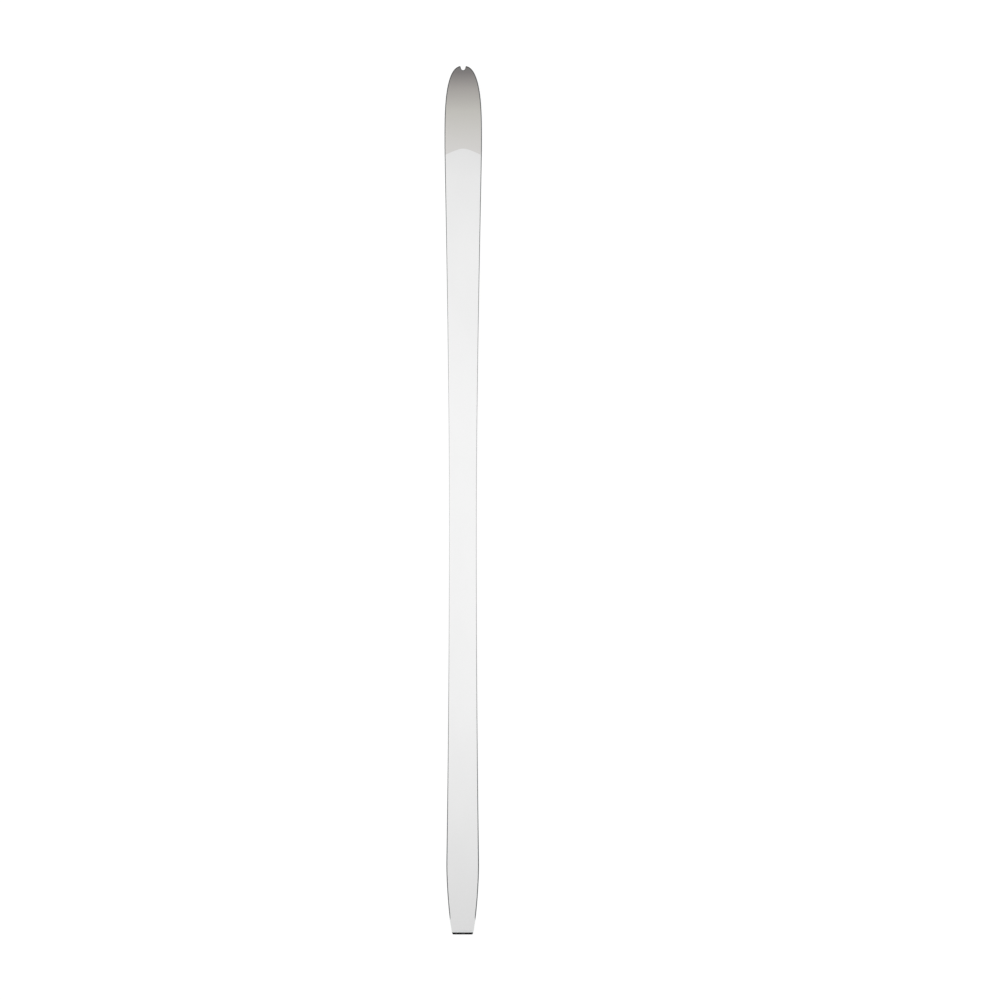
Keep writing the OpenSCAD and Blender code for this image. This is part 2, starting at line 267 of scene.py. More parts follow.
def flange_line():
    """Inner line of the edge's anchoring flange, with its row of notches."""
    count = int((SHOVEL_Y - STEP_Y - 50) // FLANGE_PITCH)
    pts = [(half_width(STEP_Y) - FLANGE_REACH, STEP_Y)]
    for j in range(count):
        for along, deep in ((0, 0), (0, FLANGE_TOOTH), (1, FLANGE_TOOTH), (1, 0)):
            y = STEP_Y + 25 + j * FLANGE_PITCH + along * FLANGE_NOTCH
            pts.append((half_width(y) - FLANGE_REACH + deep, y))
    pts.append((TIP_HALF - FLANGE_REACH, SHOVEL_Y))
    return to_notch(np.vstack([np.array(pts), nose([0, FLANGE_REACH])]), LINER, False)


def rounded_corners(loop, radii, least):
    """Rounds every sharp corner of a closed loop with a small arc, so that its sides shade cleanly."""
    n = len(loop)
    pts, kept = [], []
    for i in range(n):
        p, a, b = loop[i], loop[i - 1], loop[(i + 1) % n]
        u, v = a - p, b - p
        lu, lv = np.linalg.norm(u), np.linalg.norm(v)
        if lu < 1e-6 or lv < 1e-6:
            continue
        u, v = u / lu, v / lv
        inner = math.acos(max(-1, min(1, float(u @ v))))
        if math.pi - inner < math.radians(24):
            pts.append(p)
            kept.append(radii[i])
            continue
        wanted = max(least, 1.15 * max(radii[i]))
        d = min(wanted / math.tan(inner / 2), 0.45 * lu, 0.45 * lv)
        r = d * math.tan(inner / 2)
        mid = (u + v) / np.linalg.norm(u + v)
        c = p + mid * (r / math.sin(inner / 2))
        a0, a1 = p + u * d - c, p + v * d - c
        t0 = math.atan2(a0[1], a0[0])
        sweep = (math.atan2(a1[1], a1[0]) - t0 + math.pi) % (2 * math.pi) - math.pi
        for s in np.linspace(0, 1, 6):
            pts.append(c + r * np.array([math.cos(t0 + s * sweep), math.sin(t0 + s * sweep)]))
            kept.append(radii[i])
    return np.array(pts), np.array(kept)


def loop_normals(loop):
    """Outward unit normals of a closed loop's points, and how much longer a mitre is than an offset."""
    a = loop - np.roll(loop, 1, 0)
    b = np.roll(loop, -1, 0) - loop
    na = np.column_stack([a[:, 1], -a[:, 0]]) / np.linalg.norm(a, axis=1)[:, None]
    nb = np.column_stack([b[:, 1], -b[:, 0]]) / np.linalg.norm(b, axis=1)[:, None]
    s = na + nb
    unit = s / np.linalg.norm(s, axis=1)[:, None]
    return unit, np.minimum(1 / np.maximum((unit * na).sum(1), 0.4), 2.0)


def inside(points, loop):
    x, y = points[:, 0][:, None], points[:, 1][:, None]
    x0, y0 = loop[:, 0][None], loop[:, 1][None]
    x1, y1 = np.roll(loop[:, 0], -1)[None], np.roll(loop[:, 1], -1)[None]
    with np.errstate(divide="ignore", invalid="ignore"):
        cross = ((y0 > y) != (y1 > y)) & (x < (x1 - x0) * (y - y0) / (y1 - y0) + x0)
    return cross.sum(1) % 2 == 1


# ---------------------------------------------------------------- plates: plan loops between two levels
def level_normals(f, y, sign):
    """Unit normals of the surface at the level f, upwards or downwards by sign."""
    s = f(y + 0.5) - f(y - 0.5)
    v = np.column_stack([np.zeros_like(s), -s, np.ones_like(s)]) * sign
    return v / np.linalg.norm(v, axis=1)[:, None]


def cap(verts, norms, rings, f, sign):
    """Triangles that fill the loops in rings at the level f, the first being the outer one."""
    ids = np.concatenate(rings)
    edges, at = [], 0
    for ring in rings:
        m = len(ring)
        edges += [(at + i, at + (i + 1) % m) for i in range(m)]
        at += m
    plan = verts[ids][:, :2]
    cut = geometry.delaunay_2d_cdt([Vector(p) for p in plan], edges, [], 0, 1e-7)
    spots = np.array([tuple(c) for c in cut[0]])
    owner = [ids[o[0]] if o else -1 for o in cut[3]]
    fresh = [i for i, o in enumerate(owner) if o < 0]
    if fresh:
        for k, i in enumerate(fresh):
            owner[i] = len(verts) + k
        y = spots[fresh][:, 1]
        verts = np.vstack([verts, np.column_stack([spots[fresh], f(y)])])
        norms = np.vstack([norms, level_normals(f, y, sign)])
    centres = np.array([spots[list(t)].mean(0) for t in cut[2]])
    keep = inside(centres, plan[:len(rings[0])])
    at = len(rings[0])
    for ring in rings[1:]:
        keep &= ~inside(centres, plan[at:at + len(ring)])
        at += len(ring)
    faces = []
    for t, wanted in zip(cut[2], keep):
        if not wanted:
            continue
        q = [owner[i] for i in t]
        a, b, c = verts[q][:, :2]
        area = (b[0] - a[0]) * (c[1] - a[1]) - (b[1] - a[1]) * (c[0] - a[0])
        if abs(area) < 1e-9:
            continue
        faces.append(tuple(q[::-1] if (area < 0) != (sign < 0) else q))
    return verts, norms, faces


class Shell:
    """Collects closed plates and makes one mesh of them, with exact normals."""

    def __init__(self):
        self.verts, self.norms, self.faces, self.slots = [], [], [], []

    def plate(self, loops, lo, hi, r_top=0.15, r_bot=0.1, seg_top=1, seg_bot=1, corner=0.1, trim=None):
        """Adds a closed plate between two levels, with its rim rounded above and below.

        The first loop is the outer one and runs counter-clockwise, and holes run clockwise. A radius is one
        number, or one number per point. The rounded top rim takes the object's second material where its
        radius is trim or more.
        """
        turns = [(False, a) for a in np.linspace(90, 0, seg_bot + 1)]
        turns += [(True, a) for a in np.linspace(0, 90, seg_top + 1)]
        rings, faces, slots, verts, norms = [], [], [], [], []
        base = 0
        for loop in loops:
            n = len(loop)
            radii = np.column_stack([np.broadcast_to(r_top, n), np.broadcast_to(r_bot, n)])
            loop, radii = rounded_corners(np.asarray(loop, float), radii, corner)
            unit, miter = loop_normals(loop)
            n = len(loop)
            here = []
            for top, degrees in turns:
                a = math.radians(degrees)
                r, f, sign = (radii[:, 0], hi, 1) if top else (radii[:, 1], lo, -1)
                p = loop - unit * (miter * r * (1 - math.cos(a)))[:, None]
                z = f(p[:, 1]) - sign * r * (1 - math.sin(a))
                flat = np.column_stack([unit, np.zeros(n)])
                lean = math.cos(a) * flat + math.sin(a) * level_normals(f, p[:, 1], sign)
                verts.append(np.column_stack([p, z]))
                norms.append(lean / np.linalg.norm(lean, axis=1)[:, None])
                here.append(np.arange(base, base + n))
                base += n
            for k, (r0, r1) in enumerate(zip(here[:-1], here[1:])):
                for i in range(n):
                    j = (i + 1) % n
                    faces.append((r0[i], r0[j], r1[j], r1[i]))
                    trimmed = trim and k >= seg_bot and min(radii[i, 0], radii[j, 0]) >= trim
                    slots.append(1 if trimmed else 0)
            rings.append(here)
        verts, norms = np.vstack(verts), np.vstack(norms)
        for which, f, sign in ((0, lo, -1), (-1, hi, 1)):
            verts, norms, filled = cap(verts, norms, [h[which] for h in rings], f, sign)
            faces += filled
            slots += [0] * len(filled)
        start = sum(len(a) for a in self.verts)
        self.verts.append(verts)
        self.norms.append(norms)
        self.faces += [tuple(int(i) + start for i in q) for q in faces]
        self.slots += slots

    def object(self, name, material, nodes, slot, rim_material=None):
        mesh = bpy.data.meshes.new(name)
        mesh.from_pydata((np.vstack(self.verts) * MM).tolist(), [], self.faces)
        mesh.polygons.foreach_set("use_smooth", [True] * len(mesh.polygons))
        mesh.normals_split_custom_set_from_vertices(np.vstack(self.norms).tolist())
        mesh.update()
        o = bpy.data.objects.new(name, mesh)
        bpy.context.scene.collection.objects.link(o)
        mesh.materials.append(material)
        if rim_material:
            mesh.materials.append(rim_material)
            mesh.polygons.foreach_set("material_index", self.slots)
        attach(o, "root")
        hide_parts(*nodes)


# ---------------------------------------------------------------- materials
class Paint:
    """A small procedural material: one shader, with textures in the ski's own coordinates."""

    def __init__(self, name, metallic=0.0, rough=0.5, ior=1.5, coat=0.0, coat_rough=0.1, aniso=0.0, sss=0.0):
        self.material = bpy.data.materials.new(name)
        self.material.use_nodes = True
        self.tree = self.material.node_tree
        self.tree.nodes.clear()
        out = self.tree.nodes.new("ShaderNodeOutputMaterial")
        self.shader = self.tree.nodes.new("ShaderNodeBsdfPrincipled")
        self.tree.links.new(self.shader.outputs[0], out.inputs[0])
        values = {"Metallic": metallic, "Roughness": rough, "IOR": ior, "Coat Weight": coat,
                  "Coat Roughness": coat_rough, "Anisotropic": aniso, "Subsurface Weight": sss}
        for key, value in values.items():
            self.shader.inputs[key].default_value = value
        self.coords = self.tree.nodes.new("ShaderNodeTexCoord").outputs

    def feed(self, value, socket):
        """Links an output to the socket, or sets a number or colour on it."""
        if hasattr(value, "is_output"):
            self.tree.links.new(value, socket)
        else:
            socket.default_value = value

    def node(self, kind, **inputs):
        n = self.tree.nodes.new("ShaderNode" + kind)
        for key, value in inputs.items():
            self.feed(value, n.inputs[key.replace("_", " ")])
        return n

    def at(self, scale=(1, 1, 1), turn=(0, 0, 0), shift=(0, 0, 0)):
        return self.node("Mapping", Vector=self.coords["Object"], Scale=scale, Rotation=turn,
                         Location=shift).outputs[0]

    def noise(self, scale=(1, 1, 1), size=1.0, detail=3.0, rough=0.5, shift=(0, 0, 0)):
        return self.node("TexNoise", Vector=self.at(scale, shift=shift), Scale=size, Detail=detail,
                         Roughness=rough).outputs["Fac"]

    def wave(self, scale, size, distortion, turn=(0, 0, 0), **more):
        return self.node("TexWave", Vector=self.at(scale, turn), Scale=size, Distortion=distortion,
                         **more).outputs["Fac"]

    def math(self, op, a, b):
        n = self.tree.nodes.new("ShaderNodeMath")
        n.operation = op
        self.feed(a, n.inputs[0])
        self.feed(b, n.inputs[1])
        return n.outputs[0]

    def axis(self, which, of="Object"):
        return self.node("SeparateXYZ", Vector=self.coords[of]).outputs[which]

    def span(self, value, a, b, c=0.0, d=1.0, smooth=False):
        """Maps a..b to c..d."""
        n = self.node("MapRange", Value=value, From_Min=a, From_Max=b, To_Min=c, To_Max=d)
        n.interpolation_type = "SMOOTHSTEP" if smooth else "LINEAR"
        return n.outputs[0]

    def ramp(self, fac, stops):
        n = self.node("ValToRGB", Fac=fac)
        e = n.color_ramp.elements
        while len(e) < len(stops):
            e.new(0.5)
        for i, (place, colour) in enumerate(stops):
            e[i].position = place
            e[i].color = (*colour, 1)
        return n.outputs[0]

    def mix(self, fac, a, b, how="MIX"):
        n = self.tree.nodes.new("ShaderNodeMix")
        n.data_type, n.blend_type = "RGBA", how
        self.feed(fac, n.inputs[0])
        self.feed((*a, 1) if isinstance(a, tuple) else a, n.inputs[6])
        self.feed((*b, 1) if isinstance(b, tuple) else b, n.inputs[7])
        return n.outputs[2]

    def color(self, output):
        self.tree.links.new(output, self.shader.inputs["Base Color"])

    def rough(self, output):
        self.tree.links.new(output, self.shader.inputs["Roughness"])

    def bump(self, *layers):
        """layers: (height, strength, distance in metres), laid over one another."""
        last = None
        for height, strength, distance in layers:
            n = self.node("Bump", Height=height, Strength=strength, Distance=distance)
            if last is not None:
                self.tree.links.new(last, n.inputs["Normal"])
            last = n.outputs[0]
        self.tree.links.new(last, self.shader.inputs["Normal"])


def shade(c, k):
    return tuple(v * k for v in c)


def srgb(r, g, b):
    return tuple(((c / 255 + 0.055) / 1.055) ** 2.4 for c in (r, g, b))


EXPOSE = 0.80      # the light on a level surface is 1 / EXPOSE, so the picture's tones are painted darker


def tone(r, g, b):
    """The paint that shows as this sRGB tone on a level surface in the studio's light."""
    return shade(srgb(r, g, b), EXPOSE)


def lacquer(name, stops, a, b):
    """Pale lacquered sheet: a long gradient along the ski from the given stops, which hold painted shade,
    with faint flake, orange peel and hairline scuffs.
    """
    p = Paint(name, rough=0.34, ior=1.5, coat=0.35, coat_rough=0.12)
    # the colour gradient along the ski: painted shade, and on the tip sheet also its printed panel
    shade_and_print_fade = p.ramp(p.span(p.axis("Y"), a, b), stops)
    cloud = p.noise((3, 1.2, 3), 4.0, 2.0)
    flake = p.node("TexVoronoi", Vector=p.at(), Scale=2600.0).outputs["Distance"]
    fine = p.noise(size=900.0, detail=2.0)
    peel = p.noise(size=130.0, detail=2.0)
    vary = p.math("MULTIPLY", p.span(cloud, 0.3, 0.7, 0.988, 1.012), p.span(flake, 0.0, 0.9, 1.02, 0.985))
    col = p.mix(1.0, shade_and_print_fade, p.node("CombineXYZ", X=vary, Y=vary, Z=vary).outputs[0], "MULTIPLY")
    hair = p.noise((900, 14, 900), 1.0, 3.0, 0.6, shift=(1, 2, 0))
    scuff = p.span(hair, 0.66, 0.74, smooth=True)
    patch = p.span(p.noise((9, 3, 9), 2.0, 2.0, shift=(5, 1, 2)), 0.52, 0.68, smooth=True)
    worn = p.math("MULTIPLY", scuff, patch)
    p.color(p.mix(p.math("MULTIPLY", worn, 0.10), col, (0.9, 0.9, 0.9)))
    p.rough(p.math("ADD", p.span(cloud, 0.3, 0.7, 0.30, 0.38), p.math("MULTIPLY", worn, 0.2)))
    p.bump((peel, 0.25, 0.0003), (fine, 0.12, 0.00005), (hair, 0.15, 0.00003))
    return p.material


def laminate(name):
    """Woven glass in resin: two crossed yarns in a pale, faintly warm body."""
    p = Paint(name, rough=0.42, ior=1.52, coat=0.2, sss=0.05)
    warp = p.wave((1, 1, 1), 230.0, 0.6, Detail=1.0)
    weft = p.wave((1, 1, 1), 230.0, 0.6, turn=(0, 0, math.pi / 2), Detail=1.0)
    weave = p.math("MULTIPLY", warp, weft)
    resin = p.noise(size=60.0)
    p.color(p.mix(p.span(weave, 0, 1, 0.15, 0.85), (0.52, 0.515, 0.47), (0.62, 0.615, 0.575)))
    p.rough(p.span(resin, 0.3, 0.7, 0.34, 0.52))
    p.bump((weave, 0.3, 0.0001), (resin, 0.1, 0.0001))
    return p.material


def wood(name, light, turn):
    """Planed wood strip: growth rings along the ski, fine pores and a few darker streaks."""
    dark = shade(light, 0.62)
    middle = tuple((a + b) / 2 for a, b in zip(light, dark))
    p = Paint(name, rough=0.55, ior=1.45)
    cloud = p.noise((6, 0.7, 6), 3.0, shift=(turn, turn * 2.3, 0))
    ring = p.wave((1, 0.02, 1), 55.0, 9.0, turn=(0.05, 0.4 + turn, 0.01), Detail=3.0, Detail_Scale=1.4,
                  Detail_Roughness=0.6)
    grain = p.math("ADD", p.math("MULTIPLY", ring, 0.7), p.math("MULTIPLY", cloud, 0.3))
    pores = p.noise((1500, 45, 1500), rough=0.7)
    streak = p.span(p.noise((160, 2.5, 160), detail=2.0, shift=(turn, 0, 3)), 0.6, 0.75, smooth=True)
    col = p.ramp(grain, [(0.15, dark), (0.55, middle), (0.9, light)])
    col = p.mix(p.math("MULTIPLY", streak, 0.35), col, shade(dark, 0.6))
    p.color(p.mix(p.span(pores, 0.55, 0.75, 0.0, 0.4), col, shade(dark, 0.45)))
    p.rough(p.span(grain, 0, 1, 0.62, 0.46))
    p.bump((pores, 0.25, 0.0001), (grain, 0.15, 0.0001))
    return p.material


def steel(name):
    """Edge steel: bright hairlines on the ground side and bottom, painted shade on the upward-facing top
    ledge, which takes a dark copy of the steel, and a few darker scale blotches.
    """
    p = Paint(name, metallic=0.85, rough=0.4, aniso=0.35)
    hair = p.noise((2500, 30, 2500), detail=4.0, rough=0.65)
    scale = p.noise((12, 4, 12), 6.0, 4.0, 0.6)
    # painted shade: faces that look up take the dark copy, so the top ledge shows as a dark line
    up = p.span(p.axis("Z", "Normal"), 0.55, 0.9, smooth=True)
    ground = p.mix(p.span(hair, 0.3, 0.7), (0.36, 0.365, 0.375), (0.50, 0.505, 0.515))
    dark = p.mix(p.span(hair, 0.3, 0.7), (0.085, 0.086, 0.088), (0.135, 0.136, 0.138))
    col = p.mix(up, ground, dark)
    p.color(p.mix(p.span(scale, 0.52, 0.72, 0.0, 0.35), col, (0.08, 0.08, 0.083)))
    p.rough(p.math("ADD", p.span(hair, 0.25, 0.75, 0.26, 0.40), p.math("MULTIPLY", up, 0.12)))
    p.bump((hair, 0.3, 0.00003), (scale, 0.08, 0.0001))
    return p.material


def base_plastic(name):
    """Black sintered base: stone-ground lines along the ski and a faint cross structure."""
    p = Paint(name, rough=0.42, ior=1.5, coat=0.08, coat_rough=0.3)
    line = p.noise((2200, 9, 2200), rough=0.7)
    ridge = p.wave((1, 0.004, 1), 420.0, 0.8, Detail=1.0)
    grain = p.noise(size=2400.0, detail=2.0)
    wax = p.noise((9, 3, 9), 3.0)
    col = p.mix(p.span(line, 0.3, 0.7), (0.018, 0.018, 0.020), (0.046, 0.047, 0.051))
    p.color(p.mix(p.span(wax, 0.45, 0.7, 0.0, 0.35), col, (0.06, 0.061, 0.065)))
    p.rough(p.span(wax, 0.3, 0.7, 0.36, 0.54))
    p.bump((line, 0.4, 0.00004), (ridge, 0.12, 0.00003), (grain, 0.1, 0.00002))
    return p.material


def milled(name, a, b, rough, shine=0.0):
    """Milled plastic: cutter lines along the ski over a fine speckle."""
    p = Paint(name, rough=rough, ior=1.5, coat=shine, coat_rough=0.3, sss=0.04)
    cut = p.noise((40, 5, 1400), rough=0.6)
    speck = p.noise(size=1100.0)
    cloud = p.noise((5, 2, 5), 4.0)
    col = p.mix(p.span(cloud, 0.3, 0.7), a, b)
    col = p.mix(p.span(cut, 0.35, 0.65, 0.0, 0.5), col, shade(a, 0.86))
    p.color(p.mix(p.span(speck, 0.58, 0.72, 0.0, 0.18), col, shade(a, 0.7)))
    p.rough(p.span(cut, 0.3, 0.7, rough - 0.07, rough + 0.09))
    p.bump((cut, 0.25, 0.00004), (speck, 0.15, 0.00003))
    return p.material


def moulded(name, a, b, rough, grain=700.0, gloss=0.5):
    """Moulded rubber or plastic: a spark-eroded grain with scuffed, slightly greyer patches."""
    p = Paint(name, rough=rough, ior=1.5)
    p.shader.inputs["Specular IOR Level"].default_value = gloss
    pits = p.noise(size=grain, rough=0.6)
    wear = p.noise(size=60.0, detail=4.0, rough=0.6)
    p.color(p.mix(p.span(wear, 0.48, 0.72), a, b))
    p.rough(p.span(wear, 0.3, 0.7, rough - 0.08, rough + 0.08))
    p.bump((pits, 0.4, 0.0001), (wear, 0.1, 0.0001))
    return p.material


def alloy(name):
    """Brushed light alloy."""
    p = Paint(name, metallic=1.0, rough=0.3, aniso=0.3)
    hair = p.noise((1800, 20, 1800))
    blot = p.noise(size=40.0)
    p.color(p.mix(p.span(hair, 0.3, 0.7), (0.60, 0.62, 0.64), (0.74, 0.75, 0.77)))
    p.rough(p.span(blot, 0.3, 0.7, 0.24, 0.4))
    p.bump((hair, 0.25, 0.00003))
    return p.material


# painted shade: the body sheet is painted darker toward the tail and toward the shovel, for the shade that
# falls on its sloping ends
BODY_PAINTED_SHADE = [(t, tone(v, v, v)) for t, v in (
    (0.0, 217), (0.15, 230), (0.30, 239), (0.56, 240), (0.87, 236), (0.965, 230), (1.0, 223))]
# the tip sheet: a slightly darker printed panel, with painted shade deepening toward the upturned tip
TIP_PRINT_AND_SHADE = [(t, tone(*c)) for t, c in (
    (0.0, (208, 206, 204)), (0.50, (188, 186, 180)), (0.75, (158, 154, 150)), (0.93, (114, 110, 109)),
    (1.0, (104, 102, 101)))]
M_TOP = lacquer("topsheet", BODY_PAINTED_SHADE, TAIL_Y * MM, 0.806)
M_TIP = lacquer("tip_topsheet", TIP_PRINT_AND_SHADE, 0.795, TIP_Y * MM)
# painted highlight: a pale tone for the rounded rim of the body top sheet, lighter than the sheet near its
# darkened ends
M_RIM_HIGHLIGHT = milled("topsheet_rim_highlight", (0.68, 0.68, 0.67), (0.73, 0.73, 0.72), 0.4)
M_STEEL = steel("steel_edge")
M_BASE = base_plastic("base")
M_GLASS = laminate("glass_laminate")
M_MAT = laminate("glass_mat")
M_SIDE = milled("sidewall", (0.50, 0.50, 0.49), (0.57, 0.57, 0.56), 0.48)
M_TIP_FILL = milled("tip_plastic", (0.20, 0.198, 0.19), (0.25, 0.247, 0.24), 0.5)
# painted shade: the pale tail block takes the same darkened tone as the top sheet's tail end
M_TAIL = milled("tail_plastic", tone(217, 217, 217), tone(222, 222, 222), 0.42, 0.2)
M_CAP = moulded("protector", (0.007, 0.007, 0.0075), (0.016, 0.016, 0.017), 0.62, gloss=0.12)
M_LINER = moulded("liner", (0.060, 0.060, 0.061), (0.095, 0.095, 0.096), 0.5, 1200.0, 0.3)
M_DAMP = moulded("damper", (0.02, 0.02, 0.02), (0.04, 0.04, 0.04), 0.7)
M_ALLOY = alloy("alloy")

# ---------------------------------------------------------------- pieces
SIDES = (("right", lambda loop: loop), ("left", flipped))

# running surface, with its round-ended centre groove
base_loop = mirrored(to_notch(stepped([0, EDGE_W], CAP_Y), LINER))
groove_rear, groove_front, groove_r = REAR_C - 5, FRONT_C + 20, GROOVE_W / 2
turn_half = np.linspace(0, math.pi, 10)
arc = groove_r * np.column_stack([np.cos(turn_half), np.sin(turn_half)])
up_line = np.linspace(groove_rear + groove_r, groove_front - groove_r, 242)[1:-1]
groove = np.vstack([arc + (0, groove_front - groove_r),
                    np.column_stack([np.full(240, -groove_r), up_line[::-1]]),
                    (0, groove_rear + groove_r) - arc,
                    np.column_stack([np.full(240, groove_r), up_line])])
s = Shell()
s.plate([base_loop, groove[::-1]], level(0, 0), level(0, GROOVE_D), r_top=0.05, r_bot=0.12, seg_top=3)
s.plate([base_loop], level(0, GROOVE_D), level(0, BASE_T), r_top=0.05, r_bot=0.05, seg_top=3)
s.object("base_sheet_sintered", M_BASE, ["base_sheet"], "base")

# steel edges with their anchoring flanges, and the rubber over the flanges
edge_loop = band_loop([0, 0], [0, EDGE_W], 0.0)
flange_outer = to_notch(rim([0, EDGE_W - 0.05], STEP_Y), LINER, False)
flange_loop = np.vstack([flange_outer, flange_line()[::-1]])
damper_loop = band_loop([1, 0], [0, DAMPER_REACH])
for side, turn in SIDES:
    s = Shell()
    s.plate([turn(edge_loop)], level(0, 0), level(0, EDGE_H), r_top=0.28, r_bot=0.08, seg_top=3)
    s.plate([turn(flange_loop)], level(0, BASE_T), level(0, EDGE_H), r_top=0.05, r_bot=0.05, corner=0.5)
    s.object("edge_steel_" + side, M_STEEL, ["edge_" + side], "steel_edge")
    s = Shell()
    s.plate([turn(damper_loop)], level(0, EDGE_H), level(0, EDGE_H + DAMP_T), r_top=0.04, r_bot=0.04)
    s.object("edge_rubber_" + side, M_DAMP, ["edge_damper_" + side], "damper")

# laminates
lower_loop = mirrored(to_notch(rim([1, 0], CAP_Y), LINER))
lower_inner_loop = mirrored(to_notch(rim([0, DAMPER_REACH + 0.1], STEP_Y), LINER))
s = Shell()
s.plate([lower_loop], level(0, EDGE_H + DAMP_T), level(0, CORE_Z), r_top=0.08, r_bot=0.05)
s.plate([lower_inner_loop], level(0, EDGE_H), level(0, EDGE_H + DAMP_T), r_top=0.05, r_bot=0.05)
s.object("lower_glass", M_GLASS, ["lower_laminate"], "glass_laminate")
upper_loop = mirrored(to_notch(rim([1, 0], LIP_Y), LINER))
s = Shell()
s.plate([upper_loop], level(1, -SKIN_T), level(1, -TOP_T), r_top=0.05, r_bot=0.05)
s.object("upper_glass", M_GLASS, ["upper_laminate"], "glass_laminate")

# sidewalls, cut at their front end by the joint of the tip piece
Y_JOINT = joint_cross([1, 0])
X_JOINT = float(half_width(Y_JOINT) - ledge(Y_JOINT))
outer = flank([1, 0], CORE_Y, Y_JOINT)
inner = flank([1, SIDEWALL_W], CORE_Y, joint_cross([1, SIDEWALL_W]))
front = joint_line(outer[-1][0], inner[-1][0], 5)[1:-1]
wall = np.vstack([outer, front, inner[::-1]])
for side, turn in SIDES:
    s = Shell()
    s.plate([turn(wall)], level(0, CORE_Z), level(1, -SKIN_T), r_top=0.06, r_bot=0.06)
    s.object("sidewall_milled_" + side, M_SIDE, ["sidewall_" + side], "sidewall")

# tip: spacer and top sheet share one outline; the sheet is a slightly darker printed panel with painted
# shade deepening toward the upturned tip
SEAM_POINTS = 58
tip_right = np.vstack([flank([1, 0], Y_JOINT, Y_JOINT + 1.0), flank([1, 0], Y_JOINT + 5, SHOVEL_Y, 5.0),
                       nose([1, 0])])
tip_right = to_notch(tip_right, LINER)
arc_n = len(notch_arc(LINER))
n_right = len(tip_right)
tip_loop = np.vstack([mirrored(tip_right), joint_line(-X_JOINT, X_JOINT, SEAM_POINTS + 2)[1:-1]])
s = Shell()
s.plate([tip_loop], level(0, CORE_Z), level(1, -SKIN_T), r_top=0.06, r_bot=0.06)
s.object("tip_filler", M_TIP_FILL, ["tip_spacer"], "tip_plastic")
# the rim is rounded along the outline, and left nearly sharp at the seam and the notch liner
SEAM_R = 0.08
r_tip = np.full(len(tip_loop), 0.5)
r_tip[n_right - arc_n: n_right + arc_n - 1] = 0.12
r_tip[2 * n_right - 2:] = SEAM_R
r_tip[0] = SEAM_R
s = Shell()
s.plate([tip_loop], level(1, -TOP_T), level(1, 0), r_top=r_tip, r_bot=0.05, seg_top=4)
s.object("tip_sheet", M_TIP, ["tip_topsheet"], "tip_topsheet")

# body top sheet, with a pair of close points at each end so that the rim's radius changes there
sheet_side = flank([1, 0], LIP_Y, Y_JOINT)
sheet_side = np.vstack([sheet_side[:1], flank([1, 0], LIP_Y + 0.9, LIP_Y + 1.0), sheet_side[1:-1],
                        flank([1, 0], Y_JOINT - 1.0, Y_JOINT - 0.9), sheet_side[-1:]])
n_side = len(sheet_side)
seam = joint_line(X_JOINT, -X_JOINT, SEAM_POINTS + 2)[1:-1]
sheet_loop = np.vstack([sheet_side, seam, sheet_side[::-1] * FLIP])
r_body = np.full(len(sheet_loop), 0.55)
r_body[n_side - 1: n_side + SEAM_POINTS + 1] = SEAM_R
r_body[[0, -1]] = SEAM_R
s = Shell()
# the rim where its radius is 0.3 mm or more takes the painted highlight tone
s.plate([sheet_loop], level(1, -TOP_T), level(1, 0), r_top=r_body, r_bot=0.05, seg_top=4, trim=0.3)
s.object("body_sheet", M_TOP, ["topsheet"], "topsheet", M_RIM_HIGHLIGHT)

# tail: light block with its raised lip, and a black protector whose tongue fits a pocket in the block
block = mirrored(flank([1, 0], CAP_Y, CORE_Y, 3.0))
pocket = mirrored(np.vstack([[(TONGUE_HALF, CAP_Y)], flank([1, 0], CAP_Y, CORE_Y, 3.0)]))
pocket = np.vstack([pocket, [(-TONGUE_HALF, CAP_Y + TONGUE_LONG), (TONGUE_HALF, CAP_Y + TONGUE_LONG)]])
lip = mirrored(flank([0, 0], CAP_Y, LIP_Y, 2.3))
s = Shell()
s.plate([block], level(0, CORE_Z), level(0, TONGUE_LOW), r_top=0.04, r_bot=0.06)
s.plate([pocket], level(0, TONGUE_LOW), level(0, TONGUE_HIGH), r_top=0.04, r_bot=0.04)
s.plate([block], level(0, TONGUE_HIGH), level(1, -SKIN_T), r_top=0.06, r_bot=0.04)
s.plate([lip], level(1, -SKIN_T), level(1, 0), r_top=0.16, r_bot=0.04, seg_top=3)
s.object("tail_block", M_TAIL, ["tail_spacer"], "tail_plastic")

end_half, cap_half = float(half_width(TAIL_Y)), float(half_width(CAP_Y))
a = np.radians(np.linspace(-90, -8, 9))
corner = np.column_stack([end_half - TAIL_CORNER + TAIL_CORNER * np.cos(a),
                          TAIL_Y + TAIL_CORNER + TAIL_CORNER * np.sin(a)])
cap_loop = mirrored(np.vstack([corner, [(cap_half, CAP_Y)]]))
tongue = mirrored(np.array([(TONGUE_HALF, CAP_Y - 1), (TONGUE_HALF, CAP_Y + TONGUE_LONG)]))
s = Shell()
s.plate([cap_loop], level(0, 0), level(1, 0), r_top=0.6, r_bot=0.5, seg_top=4, seg_bot=3)
s.plate([tongue], level(0, TONGUE_LOW), level(0, TONGUE_HIGH), r_top=0.08, r_bot=0.08)
s.object("tail_cap", M_CAP, ["tail_protector"], "protector")

# liner of the tip notch: its outer wall, then the base's rim, then its inner wall
liner_rim = rim([0, EDGE_W], TIP_Y - 60)
to_outer = to_notch(liner_rim, LINER, False)
to_inner = to_notch(liner_rim, 0.0, False)
half = np.vstack([notch_arc(LINER)[::-1], [to_outer[-1]], to_inner[len(to_outer) - 1:], notch_arc(0.0)])
liner = np.vstack([half, half[::-1][1:-1] * FLIP])
s = Shell()
s.plate([liner], level(0, 0), level(1, 0), r_top=0.22, r_bot=0.18, seg_top=3, seg_bot=2)
s.object("notch_sleeve", M_LINER, ["notch_liner"], "liner")

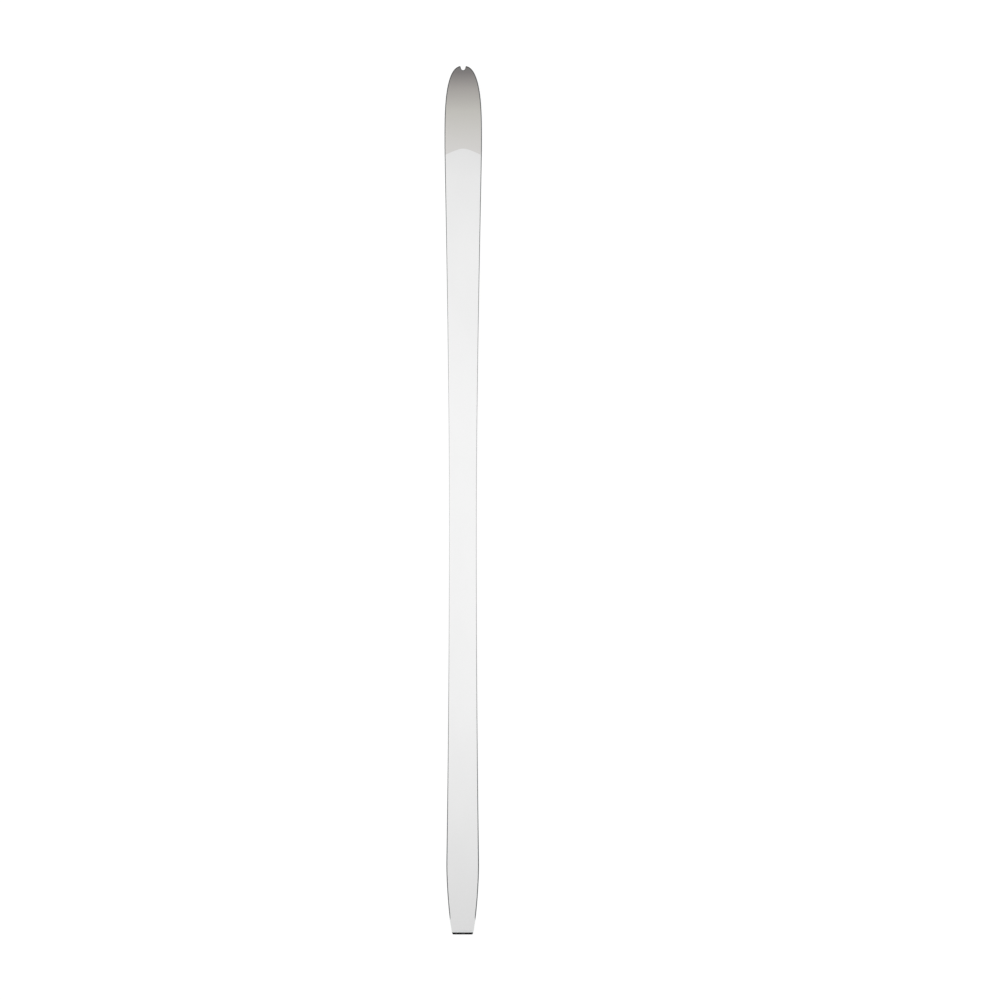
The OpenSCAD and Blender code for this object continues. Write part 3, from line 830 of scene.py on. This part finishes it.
# inner CAD nodes keep their shape
PALE_WOOD, BROWN_WOOD = (0.70, 0.53, 0.33), (0.53, 0.35, 0.19)
inside_nodes = {"binding_plate": M_ALLOY, "flange_filler": M_MAT}
for i in range(1, 8):
    inside_nodes[f"core_strip_{i}"] = wood(f"wood_{i}", PALE_WOOD if i % 2 else BROWN_WOOD, 0.37 * i)
for name, material in inside_nodes.items():
    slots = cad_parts[name].data.materials
    slots.clear()
    slots.append(material)

# ---------------------------------------------------------------- floor, room and lights
FLOOR_SIZE = 60
FLOOR_DROP = 0.0004              # keeps the floor just under the base
FLOOR_PAINT, FLOOR_GLOW = 0.12, 0.90
bpy.ops.mesh.primitive_plane_add(size=FLOOR_SIZE, location=(0, 0, -FLOOR_DROP))
floor = bpy.context.object
floor.name = "floor"
floor_paint = bpy.data.materials.new("floor_white")
floor_paint.use_nodes = True
shader = floor_paint.node_tree.nodes["Principled BSDF"]
shader.inputs["Base Color"].default_value = (FLOOR_PAINT, FLOOR_PAINT, FLOOR_PAINT, 1)
shader.inputs["Roughness"].default_value = 0.9
shader.inputs["Emission Color"].default_value = (1, 1, 1, 1)
shader.inputs["Emission Strength"].default_value = FLOOR_GLOW
floor.data.materials.append(floor_paint)

# The room is lit white overhead and dims to the horizon, so that the sheets still stand out from the
# floor in low views. The backdrop that the camera sees stays white.
HORIZON, OVERHEAD = 0.45, 1.02
FULL_LIGHT = 0.42                # sine of the height above the horizon where the room is fully lit
world = bpy.data.worlds.new("studio")
bpy.context.scene.world = world
world.use_nodes = True
tree = world.node_tree
background = tree.nodes["Background"]
background.inputs[0].default_value = (1, 1, 1, 1)
aim = tree.nodes.new("ShaderNodeTexCoord")
axes = tree.nodes.new("ShaderNodeSeparateXYZ")
dim = tree.nodes.new("ShaderNodeMapRange")
dim.interpolation_type = "SMOOTHSTEP"
for key, value in (("From Min", 0.0), ("From Max", FULL_LIGHT), ("To Min", HORIZON), ("To Max", OVERHEAD)):
    dim.inputs[key].default_value = value
ray = tree.nodes.new("ShaderNodeLightPath")
seen = tree.nodes.new("ShaderNodeMix")
seen.inputs["B"].default_value = 1.0
tree.links.new(aim.outputs["Generated"], axes.inputs[0])
tree.links.new(axes.outputs["Z"], dim.inputs["Value"])
tree.links.new(ray.outputs["Is Camera Ray"], seen.inputs["Factor"])
tree.links.new(dim.outputs[0], seen.inputs["A"])
tree.links.new(seen.outputs["Result"], background.inputs[1])


def softbox(name, at, size, power):
    """A rectangular light that faces the middle of the ski."""
    d = bpy.data.lights.new(name, "AREA")
    d.shape = "RECTANGLE"
    d.size, d.size_y = size
    d.energy = power
    o = bpy.data.objects.new(name, d)
    bpy.context.scene.collection.objects.link(o)
    o.location = at
    o.rotation_euler = (-Vector(at)).to_track_quat("-Z", "Y").to_euler()


softbox("key", (-1.6, 0.4, 2.6), (1.2, 3.0), 25)
softbox("fill", (1.9, -0.3, 2.2), (0.8, 3.0), 10)
bpy.context.scene.view_settings.view_transform = "Standard"
